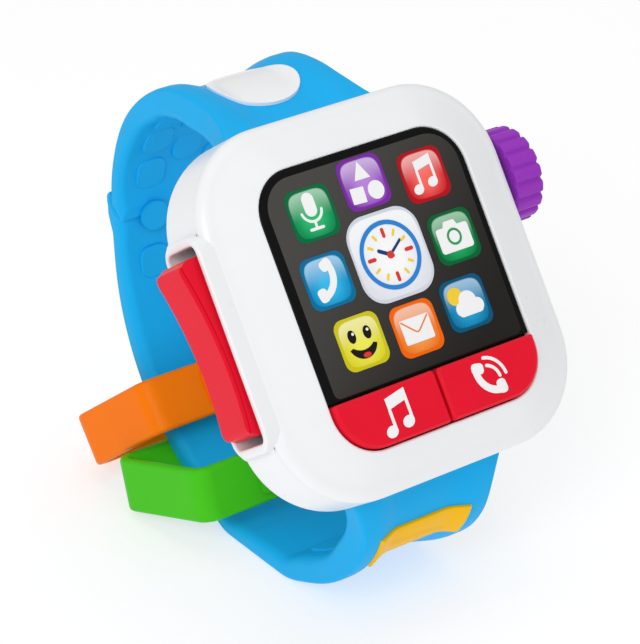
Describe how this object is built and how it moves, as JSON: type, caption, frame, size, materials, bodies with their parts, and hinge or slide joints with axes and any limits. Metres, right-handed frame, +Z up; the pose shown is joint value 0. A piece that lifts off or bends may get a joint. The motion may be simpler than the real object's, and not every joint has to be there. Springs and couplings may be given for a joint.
{
  "type": "toy wrist watch",
  "caption": "Chunky toy watch: a thick case with a lit picture dial, push buttons, a side rocker and a ribbed crown, on a hoop strap that carries loose loop rings.",
  "frame": {"origin": "middle of the flat under the strap, on which the watch stands", "axes": "+X to the right along the wrist, +Y away from the viewer of the dial, +Z up; the dial faces -Y and leans back"},
  "size_m": [0.0946, 0.1089, 0.108],
  "materials": {
    "white_plastic": "glossy",
    "window_black": "glossy tinted window",
    "card_black": "printed film",
    "diffuser_white": "milky",
    "inner_white": "plain moulded",
    "red_plastic": "semi-gloss",
    "purple_plastic": "semi-gloss",
    "keypad_rubber": "soft",
    "board_green": "laminate",
    "component_black": "moulded",
    "lamp_clear": "clear",
    "steel": "plain",
    "spring_brass": "plain",
    "slider_grey": "plain",
    "cell_can": "printed can",
    "strap_blue": "soft flexible",
    "badge_white": "glossy, bare",
    "inlay_yellow": "satin",
    "ring_orange": "satin",
    "ring_green": "satin"
  },
  "bodies": {
    "watch": {"front_housing": "white_plastic", "back_housing": "white_plastic", "rocker_frame": "white_plastic", "display_window": "window_black", "icon_card": "card_black", "light_diffuser": "diffuser_white", "light_grid": "inner_white", "button_keypad": "keypad_rubber", "circuit_board": "board_green", "board_parts": "component_black", "leds": "lamp_clear", "board_screws": "steel", "speaker": "component_black", "speaker_clamp": "inner_white", "rocker_pin": "steel", "rocker_switch": "component_black", "crown_spring": "spring_brass", "power_switch": "component_black", "battery_cover": "white_plastic", "battery_screw": "steel", "batteries": "cell_can", "battery_contacts": "steel", "housing_screws": "steel", "upper_strap": "strap_blue", "lower_strap": "strap_blue", "strap_pins": "steel", "strap_studs": "strap_blue", "strap_badge": "badge_white", "strap_inlay": "inlay_yellow"},
    "music_button": {"music_button": "red_plastic"},
    "phone_button": {"phone_button": "red_plastic"},
    "rocker": {"rocker": "red_plastic"},
    "crown": {"crown": "purple_plastic", "crown_shaft": "steel", "crown_wheel": "inner_white", "crown_clip": "steel"},
    "power_slider": {"power_slider": "slider_grey"},
    "green_ring": {"green_ring": "ring_green"},
    "orange_ring": {"orange_ring": "ring_orange"}
  },
  "joints": [
    {"name": "music_press", "type": "slide", "parent": "watch", "child": "music_button", "axis": [0, 0.8161, -0.5779], "range_m": [0, 0.001], "stiffness_N_per_m": 800, "springref_m": -0.0005},
    {"name": "phone_press", "type": "slide", "parent": "watch", "child": "phone_button", "axis": [0, 0.8161, -0.5779], "range_m": [0, 0.001], "stiffness_N_per_m": 800, "springref_m": -0.0005},
    {"name": "rocker_tilt", "type": "hinge", "parent": "watch", "child": "rocker", "pos_m": [-0.0377, -0.02073, 0.07081], "axis": [0, 0.8161, -0.5779], "range_deg": [0, 7.2]},
    {"name": "crown_turn", "type": "hinge", "parent": "watch", "child": "crown", "pos_m": [0, -0.00894, 0.08158], "axis": [1, 0, 0], "continuous": true},
    {"name": "power_slide", "type": "slide", "parent": "watch", "child": "power_slider", "axis": [0, 0.5779, 0.8161], "range_m": [0, 0.006]},
    {"name": "green_swing", "type": "hinge", "parent": "watch", "child": "green_ring", "pos_m": [0, 0.00711, 0.05233], "axis": [1, 0, 0], "range_deg": [0, 20]},
    {"name": "orange_swing", "type": "hinge", "parent": "green_ring", "child": "orange_ring", "pos_m": [0, 0.00711, 0.05233], "axis": [1, 0, 0], "range_deg": [0, 34]}
  ]
}
